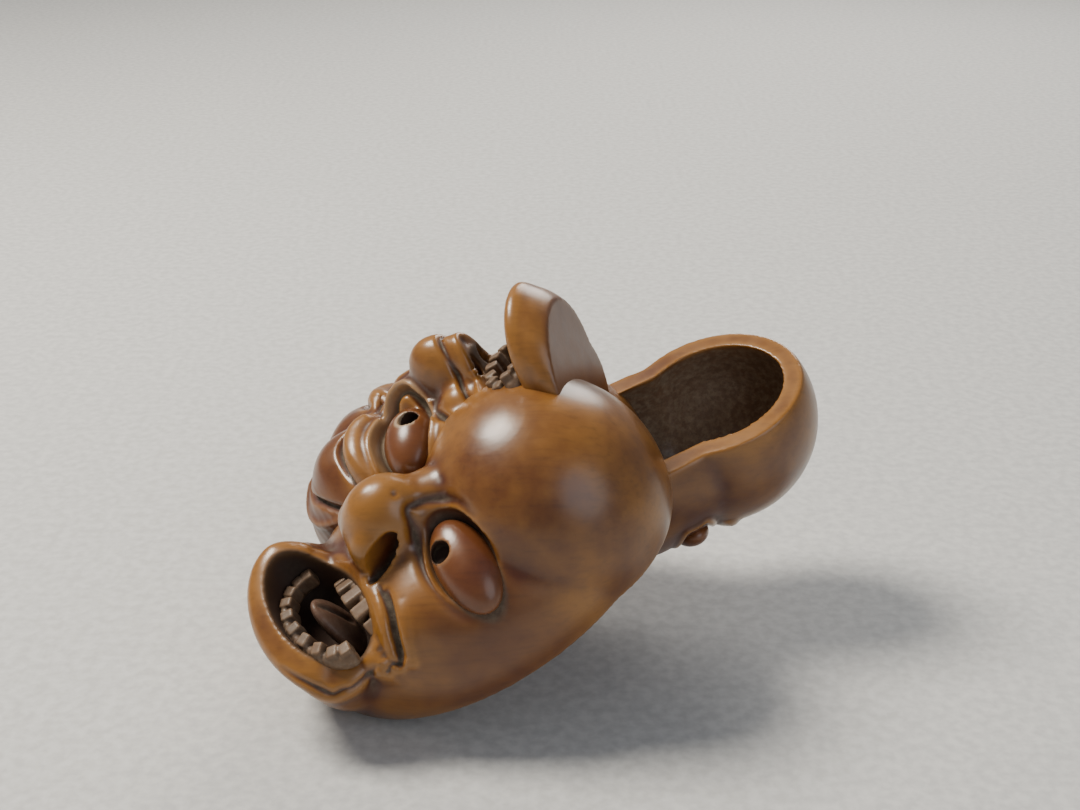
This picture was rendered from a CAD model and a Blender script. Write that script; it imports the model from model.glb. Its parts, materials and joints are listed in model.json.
import json
import math
import random

import bpy
import numpy as np
from mathutils import Euler, Matrix, Vector
from mathutils.bvhtree import BVHTree

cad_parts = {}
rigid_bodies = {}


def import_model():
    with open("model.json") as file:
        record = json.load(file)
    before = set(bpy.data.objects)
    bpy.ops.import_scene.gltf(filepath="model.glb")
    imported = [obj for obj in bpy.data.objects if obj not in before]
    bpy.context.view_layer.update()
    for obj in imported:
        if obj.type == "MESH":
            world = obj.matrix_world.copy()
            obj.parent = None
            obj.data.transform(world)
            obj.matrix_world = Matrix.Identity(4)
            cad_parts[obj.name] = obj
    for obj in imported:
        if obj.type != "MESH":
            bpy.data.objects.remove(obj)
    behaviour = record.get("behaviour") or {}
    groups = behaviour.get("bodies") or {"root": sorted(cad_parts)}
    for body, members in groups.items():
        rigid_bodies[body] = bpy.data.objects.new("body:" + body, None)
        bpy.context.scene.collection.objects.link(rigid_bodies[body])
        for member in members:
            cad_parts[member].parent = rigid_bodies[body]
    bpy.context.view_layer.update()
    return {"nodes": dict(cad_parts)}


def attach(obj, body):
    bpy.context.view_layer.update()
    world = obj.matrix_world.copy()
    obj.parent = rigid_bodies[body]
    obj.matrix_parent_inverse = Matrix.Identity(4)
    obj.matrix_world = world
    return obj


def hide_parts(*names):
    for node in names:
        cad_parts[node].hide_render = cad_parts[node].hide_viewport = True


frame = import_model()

random.seed(7)

# ============================================================================
# The laughing mask
# The nearest carving: a bald old man with a high polished dome, a big round
# nose and a wide open crooked mouth with a thick lower lip. He lies on his cheek.
# ============================================================================


def pick(obj):
    """Makes one object the only selected and active one."""
    bpy.ops.object.select_all(action="DESELECT")
    obj.select_set(True)
    bpy.context.view_layer.objects.active = obj
    return obj


def apply_all(obj):
    """Applies every modifier, in order."""
    pick(obj)
    for modifier in list(obj.modifiers):
        bpy.ops.object.modifier_apply(modifier=modifier.name)
    return obj


def ball(centre, half, turn=(0, 0, 0), segments=56):
    """An ellipsoid, in millimetres, in a mask's own frame."""
    bpy.ops.object.select_all(action="DESELECT")
    bpy.ops.mesh.primitive_uv_sphere_add(segments=segments, ring_count=segments // 2, radius=1)
    obj = bpy.context.object
    obj.scale = half
    obj.rotation_euler = [math.radians(a) for a in turn]
    obj.location = centre
    bpy.ops.object.transform_apply(location=True, rotation=True, scale=True)
    return obj


def join(objs):
    """Makes one object of several."""
    bpy.ops.object.select_all(action="DESELECT")
    for obj in objs:
        obj.select_set(True)
    bpy.context.view_layer.objects.active = objs[0]
    if len(objs) > 1:
        bpy.ops.object.join()
    return objs[0]


def soften(obj, times):
    """Rounds the freshest cuts a little, as handling does."""
    modifier = obj.modifiers.new("soften", "SMOOTH")
    modifier.iterations = times
    modifier.factor = 0.5
    return apply_all(obj)


def remesh(obj, voxel, smooth):
    """Turns overlapping forms into one even skin, and softens where they meet."""
    modifier = obj.modifiers.new("skin", "REMESH")
    modifier.mode = "VOXEL"
    modifier.voxel_size = voxel
    return soften(apply_all(obj), smooth)


def scoop(obj, tools):
    """Cuts each tool out of obj."""
    for tool in tools:
        modifier = obj.modifiers.new("scoop", "BOOLEAN")
        modifier.operation = "DIFFERENCE"
        modifier.solver = "MANIFOLD"
        modifier.object = tool
        apply_all(obj)
        bpy.data.objects.remove(tool, do_unlink=True)
    return obj


def block(low_corner, high_corner):
    """A plain box between two corners."""
    bpy.ops.object.select_all(action="DESELECT")
    bpy.ops.mesh.primitive_cube_add(size=1)
    obj = bpy.context.object
    obj.scale = [b - a for a, b in zip(low_corner, high_corner)]
    obj.location = [(a + b) / 2 for a, b in zip(low_corner, high_corner)]
    bpy.ops.object.transform_apply(location=True, rotation=True, scale=True)
    return obj


def read(obj, name="co"):
    """Vertex places, or normals, as an array of rows."""
    out = np.empty(len(obj.data.vertices) * 3)
    source = obj.data.vertices if name == "co" else obj.data.vertex_normals
    source.foreach_get("co" if name == "co" else "vector", out)
    return out.reshape(-1, 3)


def write(obj, places):
    """Moves the vertices to the given places."""
    obj.data.vertices.foreach_set("co", places.ravel())
    obj.data.update()


def curve(points, steps=7):
    """A smooth run of points through the given ones."""
    p = [np.array(q, float) for q in points]
    p = [2 * p[0] - p[1]] + p + [2 * p[-1] - p[-2]]
    out = []
    for a, b, c, d in zip(p, p[1:], p[2:], p[3:]):
        for i in range(steps):
            t = i / steps
            out.append(0.5 * (2 * b + (c - a) * t + (2 * a - 5 * b + 4 * c - d) * t * t
                              + (3 * b - a - 3 * c + d) * t ** 3))
    return np.array(out + [p[-2]])


def ring(centre, half, start=0, end=360, count=14, lean=0):
    """Points round an oval on the face, from one angle to another. lean tips the whole oval."""
    c, d = math.cos(math.radians(lean)), math.sin(math.radians(lean))
    out = []
    for angle in np.radians(np.linspace(start, end, count)):
        x, y = half[0] * math.cos(angle), half[1] * math.sin(angle)
        out.append((centre[0] + c * x - d * y, centre[1] + d * x + c * y))
    return out


def on_skin(obj, points):
    """Drops points from in front of the face on to its skin.

    A point beyond the side of the face is drawn in towards the middle of the face. A point with
    a height of its own goes to the nearest skin.
    """
    tree = BVHTree.FromPolygons([v.co[:] for v in obj.data.vertices],
                                [p.vertices[:] for p in obj.data.polygons])
    in_front, lowest_face = 40, 3
    out = []
    for point in points:
        if len(point) == 3:
            out.append(tuple(tree.find_nearest(Vector(point))[0]))
            continue
        for reach in np.linspace(1, 0.6, 17):
            above = Vector((point[0] * reach, point[1] * reach, in_front))
            hit = tree.ray_cast(above, Vector((0, 0, -1)))[0]
            if hit is not None and hit.z > lowest_face:
                break
        if hit is not None:
            out.append(tuple(hit))
    return out


def carve(obj, strokes):
    """Raised or sunk strokes along the skin: (points, half width, height, taper)."""
    places, normals = read(obj), read(obj, "normal")
    shift = np.zeros(len(places))
    for points, width, height, taper in strokes:
        run = curve(on_skin(obj, points))
        lo, hi = run.min(0) - 3 * width, run.max(0) + 3 * width
        near = np.where(((places > lo) & (places < hi)).all(1))[0]
        best = np.full(len(near), 1e9)
        along = np.zeros(len(near))
        for i, (a, b) in enumerate(zip(run, run[1:])):
            step = b - a
            t = np.clip(((places[near] - a) @ step) / max(step @ step, 1e-9), 0, 1)
            gap = np.linalg.norm(places[near] - a - t[:, None] * step, axis=1)
            closer = gap < best
            best[closer] = gap[closer]
            along[closer] = (i + t[closer]) / (len(run) - 1)
        shape = np.exp(-(best / width) ** 2)
        if taper:
            shape *= np.clip(np.minimum(along, 1 - along) / taper, 0, 1) ** 0.7
        shift[near] += height * shape
    write(obj, places + normals * shift[:, None])


def press(obj, spots):
    """Broad swellings and dips: (centre, half sizes, height), along the skin's normal."""
    places, normals = read(obj), read(obj, "normal")
    shift = np.zeros(len(places))
    for centre, half, height in spots:
        away = (((places - np.array(centre)) / np.array(half)) ** 2).sum(1)
        shift += height * np.exp(-away)
    write(obj, places + normals * shift[:, None])


def keep(obj, name, values):
    """Stores one number for each vertex, for the material to read."""
    layer = obj.data.attributes.new(name, "FLOAT", "POINT")
    layer.data.foreach_set("value", np.asarray(values, dtype=np.float32))


def note(obj, **values):
    """Stores the painted values: stained hollows, dust, hair lines, pale rims and red stain."""
    for name in ("hollow", "dusty", "hair", "rim", "red"):
        value = values.get(name, 0.0)
        keep(obj, name, np.zeros(len(obj.data.vertices)) + value)


def wear(obj, fine=8, broad=70):
    """Stores how far each point stands out of, or lies below, the skin around it.

    fine and broad are how many times the skin is smoothed for each comparison.
    """
    fine_step, broad_step = 0.05, 0.3
    mesh = obj.data
    pairs = np.empty(len(mesh.edges) * 2, dtype=np.int32)
    mesh.edges.foreach_get("vertices", pairs)
    a, b = pairs[::2], pairs[1::2]
    count = len(mesh.vertices)
    degree = np.maximum(np.bincount(a, minlength=count) + np.bincount(b, minlength=count), 1)
    places, normals = read(obj), read(obj, "normal")
    smooth = places.copy()
    for i in range(1, broad + 1):
        total = np.stack([np.bincount(a, smooth[b, k], count) + np.bincount(b, smooth[a, k], count)
                          for k in range(3)], 1)
        smooth = total / degree[:, None]
        if i == fine:
            keep(obj, "worn_fine", ((places - smooth) * normals).sum(1) / fine_step)
    keep(obj, "worn_broad", ((places - smooth) * normals).sum(1) / broad_step)


def inside_of(obj, forms, reach=1.03):
    """1 on the skin that a hollowing form left, fading to 0 on the rest."""
    fade = 0.06
    places = read(obj)
    found = np.zeros(len(places))
    for centre, half, *lean in forms:
        angle = math.radians(lean[0][2]) if lean else 0
        x, y, z = (places - np.array(centre)).T
        x, y = x * math.cos(angle) + y * math.sin(angle), y * math.cos(angle) - x * math.sin(angle)
        level = np.sqrt((x / half[0]) ** 2 + (y / half[1]) ** 2 + (z / half[2]) ** 2)
        found = np.maximum(found, np.clip((reach + fade - level) / fade, 0, 1))
    return found


def seat(obj, name, place):
    """Turns a piece from its mask's own frame to the mask's place, and hands it to the frame."""
    at, turn = place
    middle = Vector((-0.8, 1.3, 13.4))            # the middle of the cluster
    yaw, pitch, roll = (math.radians(a) for a in turn)
    obj.data.transform(Matrix.Scale(0.001, 4) @ Matrix.Translation(middle + Vector(at))
                       @ Euler((roll, pitch, yaw), "XYZ").to_matrix().to_4x4())
    obj.name = obj.data.name = name
    pick(obj)
    bpy.ops.object.shade_smooth()
    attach(obj, "root")
    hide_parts(name.replace("carved_", ""))
    return obj


LAUGH = ((-4.9, -6.4, -0.2), (-70, 12, 32))       # a mask's place from the cluster's middle, and turns
SIDES = (1, -1)                                   # a face's own left and right
BEHIND = ((-40, -40, -40), (40, 40, -4))          # all that lies behind a mask's flat back
CROOKED = 11                                      # degrees that the laughing mouth is tipped
head = join([
    ball((0, -1.5, -1.5), (12.2, 17.5, 9.5)),  # the face
    ball((0, 6.6, 0.3), (10.8, 10.6, 11.5)),  # the bald dome
    ball((0, -15.0, 2.3), (8.6, 4.6, 7.0)),  # the chin
    ball((0, -5.0, 8.2), (3.4, 4.1, 4.7), (-14, 0, 0)),  # the nose
    ball((0, -0.9, 7.2), (2.9, 4.6, 3.3), (-14, 0, 0)),  # its bridge
    *(ball((side * 1.7, -6.8, 8.4), (1.9, 2.3, 2.6)) for side in SIDES),  # its wings
])
remesh(head, 0.4, 12)
press(head, [
    ((side * 7.8, -7.4, 5.4), (3.2, 3.4, 4.0), 0.9) for side in SIDES     # cheeks
])
carve(head, [
    (ring((2.9, -13.5), (6.8, 4.6), 150, 384, 24, CROOKED), 1.4, 1.3, 0.14),   # the rolled lower lip
    (ring((2.9, -13.2), (6.7, 4.1), 5, 165, 16, CROOKED), 0.7, 0.35, 0.12),    # the thin upper lip
])
MOUTH = [((3.0, -13.4, 9.0), (6.0, 3.6, 7.4), (0, 0, CROOKED))]
scoop(head, [
    block(*BEHIND),
    ball(*MOUTH[0]),
    ball((6.8, -1.2, 6.9), (4.7, 2.8, 2.3), (0, 25, 0)),  # the eye's bed
    ball((3.3, -6.9, 8.4), (0.7, 2.9, 2.3), (0, 18, 20)),  # the long slit of the left nostril
    ball((-3.0, -6.6, 6.9), (0.5, 1.6, 1.4), (0, -14, -18)),  # the right nostril
])
remesh(head, 0.19, 4)
carve(head, [
    (ring((2.7, -13.2), (7.6, 4.9), 30, 72, 12, CROOKED), 0.2, -0.25, 0.2),  # the fold above the lip
    ([(1.5, -3.2), (1.3, -2.5)], 0.28, -0.14, 0.4),  # a nick on the bridge of the nose
    (ring((6.5, -1.3), (4.6, 3.0), 100, 330, 16), 0.5, -0.35, 0.3),  # the groove round the eye
    (ring((2.7, -13.3), (7.9, 5.4), -10, 66, 18, CROOKED), 0.32, -0.8, 0.25),  # the deep cut at the corner
    (ring((2.9, -13.6), (8.0, 5.9), 285, 350, 14, CROOKED), 0.32, -0.35, 0.4),  # under the lower lip
    (ring((2.7, -13.2), (8.8, 6.3), -20, 55, 14, CROOKED), 0.6, 0.35, 0.25),  # the cheek folded round it
])
soften(head, 1)
wear(head)
places = read(head)
# the stained cheek beside the eye, and the dusty bed that the eye is let into
flank = np.clip((places[:, 0] - 4.5) / 5, 0, 1) * np.clip((2.5 - np.abs(places[:, 1] + 2)) / 3 + 1.4, 0, 1)
bed = np.hypot((places[:, 0] - 6.75) / 4.15, (places[:, 1] + 1.2) / 2.6)
bed = np.clip((1.05 - bed) / 0.1, 0, 1) * (places[:, 2] > 1)
note(head, hollow=np.maximum(inside_of(head, MOUTH, 1.02), bed), red=0.55 * flank, dusty=0.35 * bed)
seat(head, "carved_laughing_mask", LAUGH)


def eyeball(name, place, centre, half, turn, pupil, look, rim=0.6):
    """A let-in eye with a drilled pupil, worn pale round the hole.

    turn is how many degrees the eye faces sideways, and look is where on it the pupil lies.
    """
    eye = ball(centre, half, (0, turn, 0), 72)
    remesh(eye, 0.12, 2)
    tilt = math.radians(turn)
    out = Vector((math.sin(tilt), 0, math.cos(tilt)))
    across = Vector((math.cos(tilt), 0, -math.sin(tilt)))
    rise = half[2] * math.sqrt(max(0.1, 1 - (look[0] / half[0]) ** 2 - (look[1] / half[1]) ** 2))
    top = Vector(centre) + across * look[0] + Vector((0, look[1], 0)) + out * rise
    bpy.ops.object.select_all(action="DESELECT")
    bpy.ops.mesh.primitive_cylinder_add(vertices=40, radius=pupil, depth=3.0, location=top,
                                        rotation=(0, tilt, 0))
    scoop(eye, [bpy.context.object])
    remesh(eye, 0.12, 2)
    wear(eye, 6, 40)
    away = read(eye) - np.array(top)
    level = np.linalg.norm(np.cross(away, np.array(out)), axis=1)
    down = away @ np.array(out)
    note(eye, hollow=np.where((level < pupil * 1.12) & (down < -0.25), 1.0, 0.0),
         rim=rim * np.clip((pupil * 1.5 - level) / (pupil * 0.3), 0, 1) * (down > -0.35),
         red=np.clip(level / pupil / 4, 0, 0.55))
    return seat(eye, name, place)


# The old man's left eye, the only one that shows. The other is under the scowling mask.
eyeball("carved_laughing_left_eye", LAUGH, (6.75, -1.2, 5.6), (4.4, 2.5, 1.95), 25, 0.95, (-1.8, -1.1), 0.2)


def tooth_row(name, place, arch, middle, count, size, gap, lean=0):
    """A row of blocky teeth standing out of a curved gum. middle is the arch's centre."""
    wide, high_, thick = size
    forms = []
    for i in range(count):
        angle = (wide + gap) / arch * (i - (count - 1) / 2)
        bpy.ops.object.select_all(action="DESELECT")
        bpy.ops.mesh.primitive_cube_add(size=1)
        tooth = bpy.context.object
        tooth.scale = (wide * random.uniform(0.88, 1.05), high_ * 1.5 * random.uniform(0.9, 1.05), thick)
        tooth.rotation_euler = (random.uniform(-0.06, 0.06), angle, random.uniform(-0.07, 0.07))
        tooth.location = (middle[0] + arch * math.sin(angle), middle[1] - high_ * 0.3,
                          middle[2] + arch * math.cos(angle))
        bpy.ops.object.transform_apply(location=True, rotation=True, scale=True)
        modifier = tooth.modifiers.new("worn_edge", "BEVEL")
        modifier.width = 0.16
        modifier.segments = 3
        apply_all(tooth)
        forms.append(tooth)
    bpy.ops.object.select_all(action="DESELECT")
    bpy.ops.mesh.primitive_torus_add(major_radius=arch - 0.1, minor_radius=thick * 0.42, major_segments=72,
                                     minor_segments=16, location=middle, rotation=(math.pi / 2, 0, 0))
    gum = bpy.context.object
    bpy.ops.object.transform_apply(location=True, rotation=True, scale=True)
    scoop(gum, [block((-20, middle[1] - 5, middle[2] - 20), (20, middle[1] + 5, middle[2] + arch * 0.1))])
    row = join(forms + [gum])
    row.data.transform(Matrix.Translation(middle) @ Matrix.Rotation(math.radians(lean), 4, "Z")
                       @ Matrix.Translation(-Vector(middle)))
    remesh(row, 0.1, 2)
    wear(row, 5, 24)
    note(row, hollow=0.3, dusty=0.4)
    return seat(row, name, place)


tooth_row("carved_laughing_upper_teeth", LAUGH, 5.4, (2.9, -10.1, 0.6), 7, (1.25, 1.5, 1.2), 0.4, CROOKED)


def tooth_oval(name, place, middle, half, start, end, count, size, lean):
    """Square teeth standing round the inside of an open lip, on a gum of the same oval."""
    fall = 0.035      # how fast the row sinks away from its middle
    beyond = 0.35     # how far outside the teeth the gum runs
    forms = []
    spots = ring(middle[:2], half, start, end, count, lean)
    for (x, y), angle in zip(spots, np.linspace(start, end, count) + lean):
        bpy.ops.object.select_all(action="DESELECT")
        bpy.ops.mesh.primitive_cube_add(size=1)
        tooth = bpy.context.object
        tooth.scale = [side * random.uniform(0.9, 1.06) for side in size]
        tooth.rotation_euler = (random.uniform(-0.1, 0.1), random.uniform(-0.1, 0.1), math.radians(angle))
        tooth.location = (x, y, middle[2] - fall * (x - middle[0]) ** 2)
        bpy.ops.object.transform_apply(location=True, rotation=True, scale=True)
        modifier = tooth.modifiers.new("worn_edge", "BEVEL")
        modifier.width = 0.14
        modifier.segments = 3
        forms.append(apply_all(tooth))
    gum = []
    for x, y in ring(middle[:2], (half[0] + beyond, half[1] + beyond), start, end, count * 3, lean):
        depth = middle[2] - 0.4 - fall * (x - middle[0]) ** 2
        gum.append(ball((x, y, depth), (0.6, 0.6, 0.9), (0, 0, 0), 16))
    row = join(forms + gum)
    remesh(row, 0.1, 2)
    wear(row, 5, 24)
    note(row, hollow=0.3, dusty=0.4)
    return seat(row, name, place)


tooth_oval("carved_laughing_lower_teeth", LAUGH, (3.0, -13.4, 6.9), (5.0, 2.7), 168, 352, 10,
           (1.15, 1.0, 1.5), CROOKED)


def tongue(name, place, centre, half):
    """A tongue with a groove down its tip."""
    lick = ball(centre, half, (8, 0, 0), 64)
    remesh(lick, 0.12, 2)
    carve(lick, [([(centre[0], centre[1] + half[1] * 0.2, centre[2] + half[2] * 1.1),
                   (centre[0], centre[1] + half[1] * 0.9, centre[2] + half[2] * 0.5),
                   (centre[0], centre[1] + half[1], centre[2])], 0.3, -0.35, 0.2)])
    wear(lick, 6, 30)
    note(lick, hollow=0.3, dusty=0.2)
    return seat(lick, name, place)


tongue("carved_laughing_tongue", LAUGH, (2.9, -13.2, 3.4), (2.3, 1.0, 4.4))

# ============================================================================
# The scowling mask
# It lies on its back over the old man's right side, its crown hanging down to
# the left and its thin jaw standing up highest of all. Deep set round eyes
# under a band of hatched brow, a hooked nose, and a grimace with two rows of teeth.
# ============================================================================
SCOWL = ((-6.5, 1.2, 4.2), (77, -6, -34))
head = join([
    ball((0, -0.5, 0), (9.2, 14.0, 7.4)),  # the face
    ball((0, 6.6, 0), (9.4, 10.0, 8.4)),  # the crown
    ball((0, -13.4, 3.8), (5.8, 3.0, 7.7)),  # the chin
    ball((0, -12.2, 0.6), (6.8, 3.6, 6.0)),  # the jaw behind it
    ball((0, -4.0, 7.6), (2.5, 3.4, 4.4), (-18, 0, 0)),  # the nose
    ball((0, 0.6, 6.4), (2.2, 4.6, 3.2), (-12, 0, 0)),  # its bridge
    *(ball((side * 2.7, -4.5, 5.6), (1.7, 2.0, 2.1)) for side in SIDES),  # its wings
])
remesh(head, 0.35, 7)
press(head, [
    *(((side * 6.4, -4.4, 4.6), (2.4, 2.2, 3.0), 0.8) for side in SIDES),     # bunched cheeks
    *(((side * 4.6, 5.2, 7.0), (3.6, 1.3, 3.0), 0.9) for side in SIDES),      # brows
    *(((side * 3.6, 9.6, 7.0), (2.8, 2.4, 3.0), 0.8) for side in SIDES),      # bulges of the forehead
    ((0, 8.2, 8.6), (0.9, 4.0, 3.0), -0.6),                                   # the groove between them
])
MOUTH = [((0, -9.9, 8.0), (5.6, 2.9, 5.0))]
under = block((-12, -12, -20), (12, 0, 30))
under.data.transform(Matrix.Translation((0, -15.3, 8.0)) @ Matrix.Rotation(math.radians(15), 4, "X"))
scoop(head, [
    block(*BEHIND),
    ball(*MOUTH[0]),
    under,
    *(ball((side * 4.8, 0.7, 5.4), (3.2, 2.1, 2.1), (0, side * 26, 0)) for side in SIDES),  # eye beds
    *(ball((side * 1.1, -6.9, 7.8), (0.6, 0.7, 1.5), (30, 0, 0)) for side in SIDES),  # nostrils
])
remesh(head, 0.17, 3)
carve(head, [
    (ring((0, -9.7), (5.9, 3.4), 20, 160, 12), 0.5, 0.55, 0.1),  # the upper lip
    (ring((0, -9.6), (6.9, 4.3), 20, 160, 12), 0.3, -0.5, 0.2),  # the fold over it
    (ring((0, -9.9), (5.9, 3.6), 200, 340, 12), 0.7, 0.5, 0.1),  # the lower lip
    ([(-2.6, 3.4), (0, 3.0), (2.6, 3.4)], 0.3, -0.4, 0.2),  # two frown lines
    ([(-2.0, 4.6), (0, 4.3), (2.0, 4.6)], 0.3, -0.4, 0.2),
])
for side in SIDES:
    carve(head, [
        (ring((side * 4.8, 0.7), (3.5, 2.5), 0, 360, 20), 0.34, -0.7, 0),  # the groove round the eye
        (ring((side * 5.0, 0.8), (4.3, 3.3), 0, 360, 20), 0.4, 0.45, 0),  # the lids
        ([(side * 1.2, 3.8), (side * 3.4, 5.7), (side * 6.2, 5.4), (side * 8.2, 3.4)], 1.0, 0.6, 0.15),
        ([(side * 0.8, 5.4), (side * 3.2, 7.3), (side * 6.0, 6.9), (side * 8.6, 4.8)], 0.3, -0.7, 0.2),
        ([(side * 0.9, 12.6), (side * 3.6, 13.2), (side * 6.4, 11.0), (side * 8.4, 7.6)], 0.32, -0.7, 0.1),
        ([(side * 1.0, 13.6), (side * 3.9, 14.2), (side * 7.0, 11.9), (side * 9.0, 8.2)], 0.4, 0.35, 0.1),
        ([(side * 2.6, -2.2), (side * 4.0, -2.6), (side * 5.6, -4.4), (side * 6.6, -6.6)], 0.34, -0.7, 0.2),
    ])
soften(head, 1)
wear(head, 6, 60)
places = read(head)
brow = np.zeros(len(places))
for side in SIDES:
    run = curve([(side * 1.2, 4.4), (side * 3.4, 6.3), (side * 6.2, 6.0), (side * 8.6, 3.6)])
    gap = np.min([np.linalg.norm(places[:, :2] - p, axis=1) for p in run], axis=0)
    brow = np.maximum(brow, np.clip(1.5 - gap / 0.7, 0, 1) * (places[:, 2] > 1))
# the combed crown, the rim of each lid, the stained forehead and the underside of the chin
crown = np.clip((places[:, 1] - 12.6 + 0.06 * places[:, 0] ** 2) / 0.5, 0, 1)
lid = np.abs(np.hypot((np.abs(places[:, 0]) - 4.9) / 4.0, (places[:, 1] - 0.7) / 2.95) - 1)
lid = np.clip(1.4 - lid / 0.07, 0, 1) * (places[:, 2] > 1)
bulge = np.clip((places[:, 1] - 6.5) / 1.5, 0, 1)
under = np.clip((-14.9 - places[:, 1] - (places[:, 2] - 8) * 0.268) / 0.3, 0, 1)
note(head, hollow=inside_of(head, MOUTH, 1.02), hair=np.maximum(brow, crown), rim=0.5 * lid,
     red=0.75 * np.maximum(bulge, under))
seat(head, "carved_scowling_mask", SCOWL)

# Its eyes, with a pale worn rim round each pupil.
eyeball("carved_scowling_left_eye", SCOWL, (4.8, 0.7, 5.4), (3.6, 2.45, 2.3), 26, 0.82, (-1.3, -0.9), 1.0)
eyeball("carved_scowling_right_eye", SCOWL, (-4.8, 0.7, 5.4), (3.6, 2.45, 2.3), -26, 0.82, (1.3, -0.9), 1.0)

# Two rows of square teeth, clenched, with the tongue behind them.
tooth_oval("carved_scowling_upper_teeth", SCOWL, (0, -9.9, 6.3), (4.5, 2.0), 15, 165, 8, (1.1, 1.0, 2.0), 0)
tooth_oval("carved_scowling_lower_teeth", SCOWL, (0, -9.9, 6.7), (4.5, 2.0), 195, 345, 8, (1.1, 1.0, 2.0), 0)
tongue("carved_scowling_tongue", SCOWL, (0, -9.8, 3.6), (2.6, 0.75, 3.0))

# ============================================================================
# The hollow mask
# Turned face down at the right, so that its scooped-out back shows: a thick
# rounded rim, rough tool marks inside, and a face that is seen from below.
# ============================================================================
HOLLOW = ((12.0, 5.7, 3.5), (111, -13, 159))
head = join([
    ball((0, -2.5, 0), (7.9, 15.0, 8.4)),  # the face
    ball((0, 5.0, 0), (8.2, 9.2, 10.0)),  # the forehead
    ball((0, -14.6, 2.2), (4.6, 2.8, 5.4)),  # the chin
    ball((0, -4.8, 8.4), (1.8, 3.4, 3.0), (-16, 0, 0)),  # the nose
    ball((0, -0.4, 7.8), (1.4, 3.6, 2.2)),  # its bridge
    *(ball((side * 1.7, -6.4, 7.8), (1.2, 1.4, 1.5)) for side in SIDES),  # its wings
])
remesh(head, 0.35, 12)
press(head, [
    *(((side * 4.6, -5.2, 6.0), (2.4, 2.4, 3.0), 0.6) for side in SIDES),     # cheeks
    *(((side * 4.0, 1.8, 8.0), (3.0, 1.1, 3.0), 0.5) for side in SIDES),      # brows
])
SCOOP = [((0, -2.5, -0.3), (6.2, 13.3, 6.7)), ((0, 5.0, -0.3), (6.5, 7.5, 8.3))]
bowl = join([ball(*SCOOP[0]), ball(*SCOOP[1])])
remesh(bowl, 0.35, 40)
scoop(head, [
    bowl,
    block(*BEHIND),
    *(ball((side * 4.5, -1.6, 8.0), (3.0, 2.0, 1.2), (0, side * 30, 0)) for side in SIDES),  # eye beds
    ball((0, -10.6, 7.6), (4.4, 1.7, 1.8)),  # the closed mouth
])
remesh(head, 0.19, 5)
carve(head, [
    (ring((0, -10.6), (4.6, 2.1), 0, 360, 20), 0.5, 0.35, 0),  # the lips
    ([(-3.4, -10.6), (0, -10.9), (3.4, -10.6)], 0.25, -0.3, 0.2),  # the line between them
])
for side in SIDES:
    carve(head, [
        (ring((side * 4.5, -1.6), (3.1, 2.1), 0, 360, 18), 0.32, 0.3, 0),  # the lids
        ([(side * 1.4, 1.6), (side * 3.6, 2.8), (side * 6.2, 1.6)], 0.5, 0.35, 0.2),  # the brow
        ([(side * 2.6, -6.0), (side * 4.2, -8.0), (side * 5.4, -11.0)], 0.3, -0.4, 0.3),  # the cheek line
    ])
soften(head, 1)
wear(head, 8, 60)
inner = inside_of(head, SCOOP, 1.03) * np.clip((read(head)[:, 2] + 3.8) / 0.5, 0, 1)
note(head, hollow=inner * 0.12, dusty=inner)
seat(head, "carved_hollow_mask", HOLLOW)
eyeball("carved_hollow_left_eye", HOLLOW, (4.3, -1.6, 7.0), (2.6, 1.65, 1.25), 30, 0.65, (-0.4, 0))
eyeball("carved_hollow_right_eye", HOLLOW, (-4.3, -1.6, 7.0), (2.6, 1.65, 1.25), -30, 0.65, (0.4, 0))

# ============================================================================
# The smiling mask
# On the side turned away: a young woman's full face with narrow eyes, combed
# hair above the forehead, parted lips, and the two cord holes.
# ============================================================================
SMILE = ((0.6, 7.9, -1.2), (172, -27, 99))
head = join([
    ball((0, -0.6, 0), (9.4, 11.6, 7.0)),  # the face
    ball((0, 3.8, 0), (8.6, 6.6, 7.6)),  # the forehead
    ball((0, -9.6, 2.4), (4.6, 3.0, 4.4)),  # the chin
    ball((0, -2.2, 6.8), (1.4, 2.5, 1.9), (-14, 0, 0)),  # the nose
    ball((0, 1.4, 6.8), (1.1, 3.2, 1.2)),  # its bridge
    *(ball((side * 1.2, -3.4, 6.5), (0.9, 1.0, 1.1)) for side in SIDES),  # its wings
])
remesh(head, 0.35, 12)
press(head, [
    *(((side * 4.8, -3.8, 5.2), (3.0, 2.8, 3.0), 0.9) for side in SIDES),     # cheeks
    *(((side * 4.0, 2.4, 7.0), (2.8, 0.8, 3.0), 0.3) for side in SIDES),      # brow ridge
])
MOUTH = [((0, -6.5, 6.6), (2.9, 1.3, 2.6))]
CORD_HOLES, CORD_UP, CORD_RADIUS = (5.2, 1.4), 4.4, 1.1     # how far across, how high up, how wide
holes = []
for across in CORD_HOLES:
    bpy.ops.object.select_all(action="DESELECT")
    bpy.ops.mesh.primitive_cylinder_add(vertices=48, radius=CORD_RADIUS, depth=20,
                                        location=(across, CORD_UP, 12.4))
    holes.append(bpy.context.object)
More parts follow.
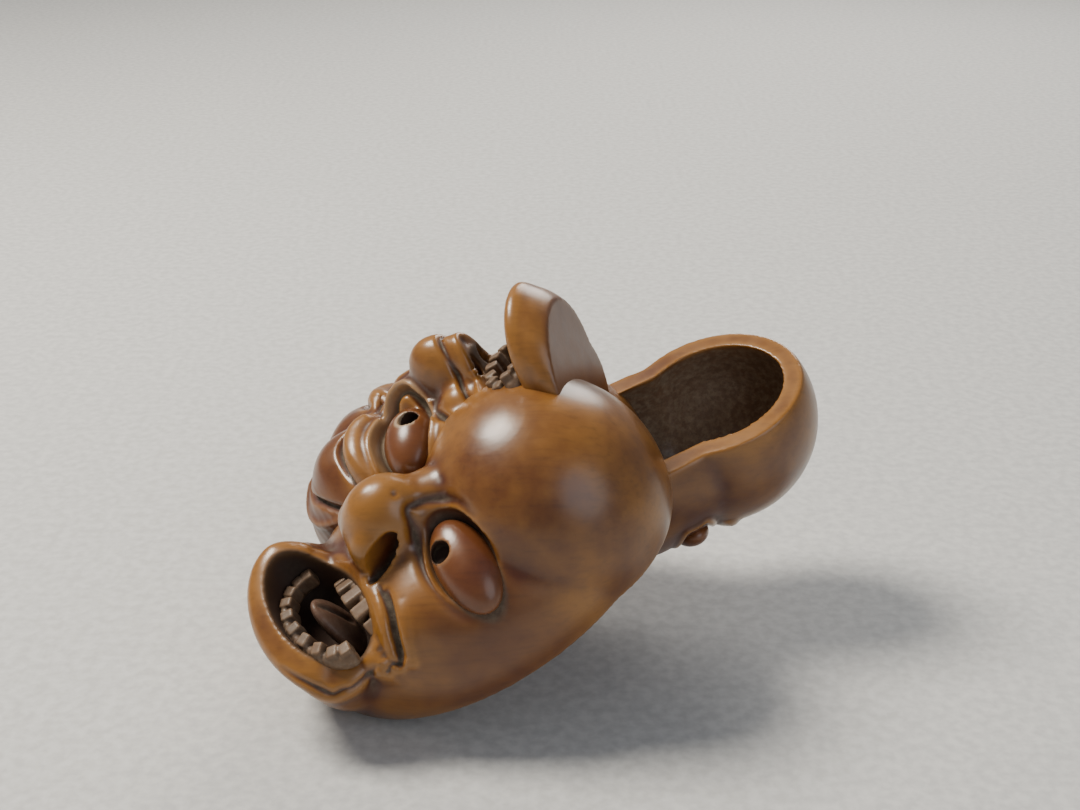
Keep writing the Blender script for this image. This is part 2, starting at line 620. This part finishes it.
# the cross hole that joins them, under the skin
bpy.ops.object.select_all(action="DESELECT")
bpy.ops.mesh.primitive_cylinder_add(vertices=48, radius=CORD_RADIUS, depth=CORD_HOLES[0] - CORD_HOLES[1],
                                    location=(sum(CORD_HOLES) / 2, CORD_UP, 2.4),
                                    rotation=(0, math.pi / 2, 0))
holes.append(bpy.context.object)
scoop(head, [
    block(*BEHIND),
    ball(*MOUTH[0]),
    *(ball((side * 4.2, 0.6, 7.2), (2.6, 1.2, 1.2), (0, side * 20, side * 6)) for side in SIDES),  # eye beds
] + holes)
remesh(head, 0.16, 3)
carve(head, [
    (ring((0, -6.4), (3.1, 1.5), 0, 360, 20), 0.42, 0.35, 0),  # the lips
    ([(0, -8.0), (0, -8.6)], 0.9, -0.25, 0),  # the dip under them
])
for side in SIDES:
    carve(head, [
        (ring((side * 4.2, 0.6), (2.8, 1.35), 0, 360, 18), 0.28, 0.22, 0),  # the lids
        (ring((side * 4.2, 0.9), (3.2, 2.2), 25, 155, 9), 0.2, -0.22, 0.2),  # the crease over the eye
        ([(side * 2.2, -4.6), (side * 3.4, -5.6), (side * 3.9, -7.0)], 0.3, -0.22, 0.3),  # the cheek line
    ])
# the worn edge round each cord hole
carve(head, [(ring((across, CORD_UP), (1.4, 1.4), 0, 360, 14), 0.25, 0.12, 0) for across in CORD_HOLES])
soften(head, 1)
wear(head, 8, 60)
places = read(head)
tunnel = np.zeros(len(places))
for across in CORD_HOLES:
    level = np.hypot(places[:, 0] - across, places[:, 1] - CORD_UP)
    tunnel = np.maximum(tunnel, (level < CORD_RADIUS + 0.1) * (places[:, 2] > -1.5))
parting = np.clip((places[:, 1] - 7.4 + 0.02 * places[:, 0] ** 2) / 0.4, 0, 1)
note(head, hollow=np.maximum(inside_of(head, MOUTH, 1.02), tunnel), hair=parting)
seat(head, "carved_smiling_mask", SMILE)
eyeball("carved_smiling_left_eye", SMILE, (4.2, 0.6, 5.9), (2.35, 1.05, 1.35), 20, 0.5, (-0.2, 0))
eyeball("carved_smiling_right_eye", SMILE, (-4.2, 0.6, 5.9), (2.35, 1.05, 1.35), -20, 0.5, (0.2, 0))
tooth_row("carved_smiling_upper_teeth", SMILE, 2.2, (0, -5.7, 3.9), 5, (0.75, 0.75, 0.7), 0.22)

# ============================================================================
# The wood
# Old boxwood, handled until the high places are golden and glossy, with stain
# and dust left in the cuts. Each piece carries how worn and how hollow it is.
# ============================================================================


class Sock:
    """A shader socket that can be used in ordinary sums."""

    def __init__(self, tree, socket):
        self.tree, self.socket = tree, socket

    def _math(self, operation, a, b):
        node = self.tree.nodes.new("ShaderNodeMath")
        node.operation = operation
        for slot, value in zip(node.inputs, (a, b)):
            if isinstance(value, Sock):
                self.tree.links.new(value.socket, slot)
            else:
                slot.default_value = value
        return Sock(self.tree, node.outputs[0])

    def __add__(self, other):
        return self._math("ADD", self, other)

    def __radd__(self, other):
        return self._math("ADD", other, self)

    def __sub__(self, other):
        return self._math("SUBTRACT", self, other)

    def __rsub__(self, other):
        return self._math("SUBTRACT", other, self)

    def __mul__(self, other):
        return self._math("MULTIPLY", self, other)

    def __rmul__(self, other):
        return self._math("MULTIPLY", other, self)

    def clamp(self):
        return self._math("MAXIMUM", self._math("MINIMUM", self, 1.0), 0.0)

    def over(self, a, b):
        """0 below a, 1 above b, and straight between."""
        return ((self - a) * (1 / (b - a))).clamp()


class Wood:
    """The nodes of one material, for the wood and for the table."""

    def __init__(self, name):
        self.material = bpy.data.materials.new(name)
        self.material.use_nodes = True
        self.tree = self.material.node_tree
        self.shader = next(n for n in self.tree.nodes if n.type == "BSDF_PRINCIPLED")

    def node(self, kind, settings=None, out=0, **inputs):
        """Adds a node, sets it up, then fills its sockets with values or links."""
        node = self.tree.nodes.new(kind)
        for name, value in (settings or {}).items():
            setattr(node, name, value)
        for name, value in inputs.items():
            slot = node.inputs[int(name[1:])] if name[0] == "i" and name[1:].isdigit() else node.inputs[name]
            if isinstance(value, Sock):
                self.tree.links.new(value.socket, slot)
            else:
                slot.default_value = value
        return Sock(self.tree, node.outputs[out])

    def stored(self, name):
        return self.node("ShaderNodeAttribute", {"attribute_name": name}, out=2)

    def mixed(self, amount, a, b):
        """A colour between a and b."""
        a, b = ((*c, 1) if isinstance(c, tuple) else c for c in (a, b))
        return self.node("ShaderNodeMix", {"data_type": "RGBA"}, out=2, i0=amount, i6=a, i7=b)

    def feed(self, name, value):
        slot = self.shader.inputs[name]
        if isinstance(value, Sock):
            self.tree.links.new(value.socket, slot)
        else:
            slot.default_value = value


GOLD, BROWN, DARK = (0.255, 0.108, 0.020), (0.076, 0.0205, 0.007), (0.016, 0.008, 0.004)
RED_STAIN, OLD_DUST, BARE_WOOD = (0.082, 0.0195, 0.0075), (0.27, 0.22, 0.155), (0.42, 0.31, 0.20)


def boxwood(name, gold, brown, dark, gloss=1.0, stain=0.0):
    """Polished boxwood: gold where it is worn, dark in the cuts, dusty and dull in the hollows.

    gloss is how polished it is, from 0 to 1, and stain how much less of it has been worn golden.
    """
    wood = Wood(name)
    place = wood.node("ShaderNodeTexCoord", out=3)
    fine, broad = wood.stored("worn_fine"), wood.stored("worn_broad")
    hollow_, hair, dusty, rim, red = (wood.stored(n) for n in ("hollow", "hair", "dusty", "rim", "red"))
    cloud = wood.node("ShaderNodeTexNoise", Vector=place, Scale=120.0, Detail=3.0, Roughness=0.55)
    mottle = wood.node("ShaderNodeTexNoise", Vector=place, Scale=520.0, Detail=4.0, Roughness=0.6)
    grain_place = wood.node("ShaderNodeMapping", Vector=place, Rotation=(0.4, 0.5, 0.7),
                            Scale=(250, 2600, 2600))
    grain = wood.node("ShaderNodeTexNoise", Vector=grain_place, Scale=1.0, Detail=3.0, Roughness=0.5)
    dust = wood.node("ShaderNodeTexNoise", Vector=place, Scale=1800.0, Detail=4.0, Roughness=0.65)
    # how golden a place is, and how far down a cut it lies
    worn = (fine * 0.40 + broad * 0.42 + (cloud - 0.5) * 2.4 + (mottle - 0.5) * 0.6 + (0.36 - stain)).clamp()
    cut_ = (0 - fine).over(0.35, 2.4)
    deep = (cut_ + (0 - broad).over(0.8, 3.0) * 0.5 + hollow_ * 0.85).clamp()
    body = wood.mixed(worn, brown, gold)
    body = wood.mixed((red * 0.8 + (cloud - 0.55) * red).clamp(), body, RED_STAIN)
    body = wood.mixed((grain - 0.5).over(0.0, 0.3) * 0.22, body, dark)
    body = wood.mixed(deep * 0.92, body, dark)
    grey = (dusty + cut_ * 0.55) * (0.3 + (dust - 0.42).over(0.0, 0.3) * 0.55)
    body = wood.mixed(grey.clamp(), body, OLD_DUST)
    body = wood.mixed(rim * 0.75, body, BARE_WOOD)
    wood.feed("Base Color", body)
    rough = 0.33 + (mottle - 0.5) * 0.22 + deep * 0.5 + hair * 0.1 + (1 - gloss) * 0.3
    wood.feed("Roughness", rough.clamp())
    wood.feed("Coat Weight", ((1 - deep) * 0.3 * gloss).clamp())
    wood.feed("Coat Roughness", 0.22)
    wood.feed("Specular IOR Level", 0.45)
    # carved hair lines, tool marks in the hollows, and the feel of the grain
    lines_place = wood.node("ShaderNodeMapping", Vector=place, Rotation=(0.3, 0.9, 0.2))
    lines = wood.node("ShaderNodeTexWave", {"wave_type": "BANDS", "bands_direction": "X"}, out=1,
                      Vector=lines_place, Scale=420.0, Distortion=1.2, Detail=1.0)
    marks = wood.node("ShaderNodeTexVoronoi", {"feature": "F1"}, Vector=place, Scale=1300.0)
    height = (lines * hair * 0.6 + marks * dusty * 1.2 + grain * 0.10 + dust * (0.05 + dusty * 0.5)
              + mottle * 0.12)
    bump = wood.node("ShaderNodeBump", Strength=0.35, Distance=0.00012, Height=height)
    wood.feed("Normal", bump)
    return wood.material


mask_wood = boxwood("boxwood", GOLD, BROWN, DARK)
eye_wood = boxwood("eye_wood", (0.22, 0.080, 0.017), (0.085, 0.024, 0.009), DARK, stain=0.05)
tooth_wood = boxwood("tooth_wood", (0.150, 0.070, 0.027), (0.065, 0.027, 0.012), DARK, gloss=0.5)
tongue_wood = boxwood("stained_wood", (0.105, 0.038, 0.016), (0.050, 0.017, 0.009), DARK,
                      gloss=0.5, stain=0.1)
core_wood = boxwood("core_wood", (0.14, 0.055, 0.018), (0.08, 0.03, 0.011), DARK, gloss=0.2, stain=0.2)
finishes = {"_mask": mask_wood, "_eye": eye_wood, "_teeth": tooth_wood, "_tongue": tongue_wood}
for obj in bpy.data.objects:
    if obj.name.startswith("carved_"):
        finish = next(value for key, value in finishes.items() if obj.name.endswith(key))
        obj.data.materials.clear()
        obj.data.materials.append(finish)

# ============================================================================
# The core and its pegs
# Out of sight between the backs of the masks: the block that they are seated
# on, and a peg for each closed mask. They keep their plain forms.
# ============================================================================
for name in ("core_block", "laughing_peg", "scowling_peg", "smiling_peg"):
    node = frame["nodes"][name]
    node.data.materials.clear()
    node.data.materials.append(core_wood)

# ============================================================================
# The surface and the light
# A plain pale table. A soft warm lamp stands high on the left, a wide cool one
# fills from the right in front, and a third lights the top edges from behind.
# ============================================================================
bpy.ops.object.select_all(action="DESELECT")
bpy.ops.mesh.primitive_plane_add(size=1.2, location=(0, 0, 0))
table = bpy.context.object
table.name = "table"
stone = Wood("table_top")
speck = stone.node("ShaderNodeTexNoise", Vector=stone.node("ShaderNodeTexCoord", out=3), Scale=900.0,
                   Detail=3.0)
stone.feed("Base Color", stone.mixed((speck - 0.35).over(0.0, 0.3), (0.50, 0.50, 0.49), (0.60, 0.60, 0.585)))
stone.feed("Roughness", 0.85)
table.data.materials.append(stone.material)


def lamp(name, place, size, power, colour):
    """A round soft lamp that looks at the carving's middle."""
    aim = (0, 0, 0.012)
    bpy.ops.object.select_all(action="DESELECT")
    bpy.ops.object.light_add(type="AREA", location=place)
    light = bpy.context.object
    light.name = name
    light.data.shape = "DISK"
    light.data.size = size
    light.data.energy = power
    light.data.color = colour
    light.rotation_euler = (Vector(aim) - Vector(place)).to_track_quat("-Z", "Y").to_euler()
    return light


lamp("key", (-0.22, 0.06, 0.34), 0.16, 2.6, (1.0, 0.93, 0.82))
lamp("fill", (0.30, -0.34, 0.22), 0.40, 0.7, (0.86, 0.92, 1.0))
lamp("back", (0.10, 0.34, 0.22), 0.20, 0.8, (1.0, 0.95, 0.88))
world = bpy.data.worlds.new("room")
bpy.context.scene.world = world
world.use_nodes = True
room_light = world.node_tree.nodes["Background"].inputs
room_light["Color"].default_value = (0.74, 0.77, 0.82, 1)
room_light["Strength"].default_value = 0.32

bpy.ops.object.select_all(action="DESELECT")
bpy.ops.object.camera_add(location=(-0.000966, -0.123738, 0.07919))
camera = bpy.context.object
camera.data.lens = 52.27
camera.data.sensor_width = 36
camera.data.clip_start = 0.005
camera.rotation_euler = Vector((0, 0.9135, -0.4067)).to_track_quat("-Z", "Y").to_euler()
bpy.context.scene.camera = camera
